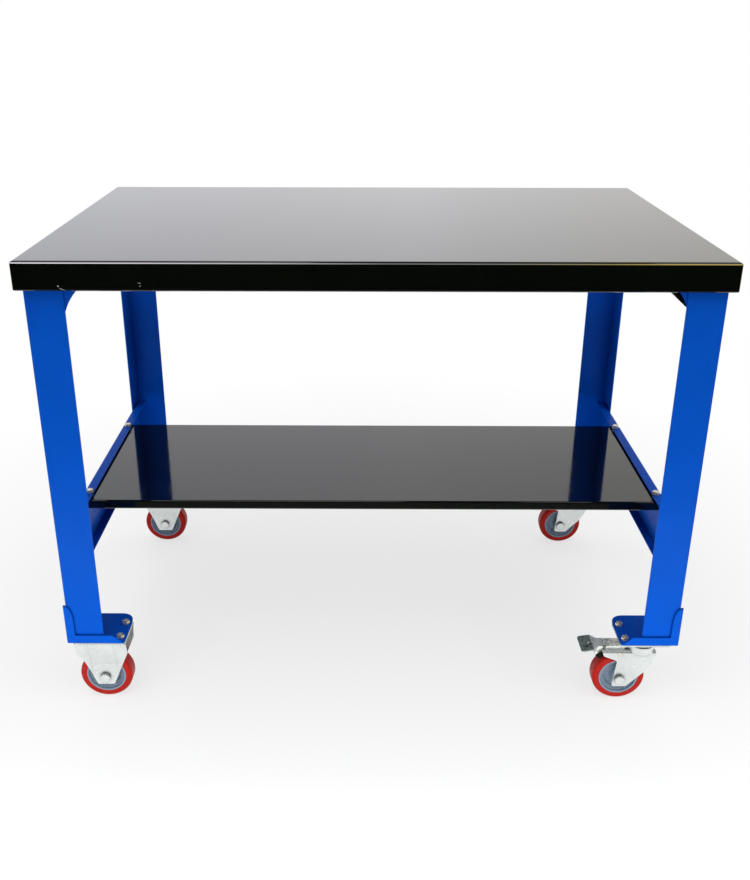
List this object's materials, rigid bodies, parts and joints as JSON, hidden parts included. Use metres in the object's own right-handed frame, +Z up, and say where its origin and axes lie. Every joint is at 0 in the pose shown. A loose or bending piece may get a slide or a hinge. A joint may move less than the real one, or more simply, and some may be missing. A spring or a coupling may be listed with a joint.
{
  "type": "mobile workbench",
  "caption": "Steel workbench on castors: folded worktop, angle legs with foot brackets, undershelf between channel rails, fixed castors at one end and braked swivel castors at the other.",
  "frame": {"origin": "on the floor under the middle of the worktop, where the tyres stand", "axes": "+X along the worktop from the fixed castors to the swivel castors, +Y from front to back, +Z up"},
  "size_m": [1.2, 0.75, 0.905],
  "materials": {
    "black_paint": "gloss",
    "blue_paint": "satin gloss",
    "plated_fastener": "bright",
    "plated_fork": "bright",
    "plated_pedal": "satin",
    "bright_steel": "polished",
    "pad_rubber": "matte",
    "red_tyre": "satin",
    "grey_core": "satin"
  },
  "bodies": {
    "bench": {"worktop_tray": "black_paint", "worktop_stiffeners": "black_paint", "corner_brace": "black_paint", "undershelf": "black_paint", "undershelf_stiffener": "black_paint", "gussets": "blue_paint", "leg_front_left": "blue_paint", "leg_front_right": "blue_paint", "leg_rear_left": "blue_paint", "leg_rear_right": "blue_paint", "foot_bracket_front_left": "blue_paint", "foot_bracket_front_right": "blue_paint", "foot_bracket_rear_left": "blue_paint", "foot_bracket_rear_right": "blue_paint", "lower_side_rail_left": "blue_paint", "lower_side_rail_right": "blue_paint", "top_side_rail_left": "blue_paint", "top_side_rail_right": "blue_paint", "top_long_rail_front": "blue_paint", "top_long_rail_rear": "blue_paint", "worktop_nuts": "plated_fastener", "undershelf_bolts": "plated_fastener", "undershelf_nuts": "plated_fastener", "undershelf_washers": "plated_fastener", "castor_bolts": "plated_fastener", "castor_nuts": "plated_fastener", "kingpins": "plated_fastener", "fixed_axle_bolts": "plated_fork", "fixed_axle_nuts": "plated_fork", "fixed_fork_front": "plated_fork", "fixed_fork_rear": "plated_fork", "swivel_plate_front": "plated_fork", "swivel_plate_rear": "plated_fork", "race_balls": "bright_steel"},
    "front_swivel": {"swivel_fork_front": "plated_fork", "swivel_axle_bolt_front": "plated_fork", "swivel_axle_nut_front": "plated_fork", "pedal_pin_front": "plated_fastener", "pedal_spring_front": "bright_steel"},
    "front_brake": {"brake_pedal_front": "plated_pedal", "brake_pad_front": "pad_rubber"},
    "rear_swivel": {"swivel_fork_rear": "plated_fork", "swivel_axle_bolt_rear": "plated_fork", "swivel_axle_nut_rear": "plated_fork", "pedal_pin_rear": "plated_fastener", "pedal_spring_rear": "bright_steel"},
    "rear_brake": {"brake_pedal_rear": "plated_pedal", "brake_pad_rear": "pad_rubber"},
    "front_left_wheel": {"tyre_front_left": "red_tyre", "wheel_core_front_left": "grey_core", "wheel_bearings_front_left": "bright_steel"},
    "front_right_wheel": {"tyre_front_right": "red_tyre", "wheel_core_front_right": "grey_core", "wheel_bearings_front_right": "bright_steel"},
    "rear_left_wheel": {"tyre_rear_left": "red_tyre", "wheel_core_rear_left": "grey_core", "wheel_bearings_rear_left": "bright_steel"},
    "rear_right_wheel": {"tyre_rear_right": "red_tyre", "wheel_core_rear_right": "grey_core", "wheel_bearings_rear_right": "bright_steel"}
  },
  "joints": [
    {"name": "front_castor_swivel", "type": "hinge", "parent": "bench", "child": "front_swivel", "pos_m": [0.534, -0.316, 0.12], "axis": [0, 0, 1], "continuous": true},
    {"name": "front_brake_pedal", "type": "hinge", "parent": "front_swivel", "child": "front_brake", "pos_m": [0.491, -0.316, 0.11], "axis": [0, -1, 0], "range_deg": [0, 10]},
    {"name": "rear_castor_swivel", "type": "hinge", "parent": "bench", "child": "rear_swivel", "pos_m": [0.534, 0.316, 0.12], "axis": [0, 0, 1], "continuous": true},
    {"name": "rear_brake_pedal", "type": "hinge", "parent": "rear_swivel", "child": "rear_brake", "pos_m": [0.491, 0.316, 0.11], "axis": [0, -1, 0], "range_deg": [0, 10]},
    {"name": "front_left_wheel_roll", "type": "hinge", "parent": "bench", "child": "front_left_wheel", "pos_m": [-0.534, -0.316, 0.052], "axis": [0, 1, 0], "continuous": true},
    {"name": "front_right_wheel_roll", "type": "hinge", "parent": "front_swivel", "child": "front_right_wheel", "pos_m": [0.494, -0.316, 0.052], "axis": [0, 1, 0], "continuous": true},
    {"name": "rear_left_wheel_roll", "type": "hinge", "parent": "bench", "child": "rear_left_wheel", "pos_m": [-0.534, 0.316, 0.052], "axis": [0, 1, 0], "continuous": true},
    {"name": "rear_right_wheel_roll", "type": "hinge", "parent": "rear_swivel", "child": "rear_right_wheel", "pos_m": [0.494, 0.316, 0.052], "axis": [0, 1, 0], "continuous": true}
  ]
}
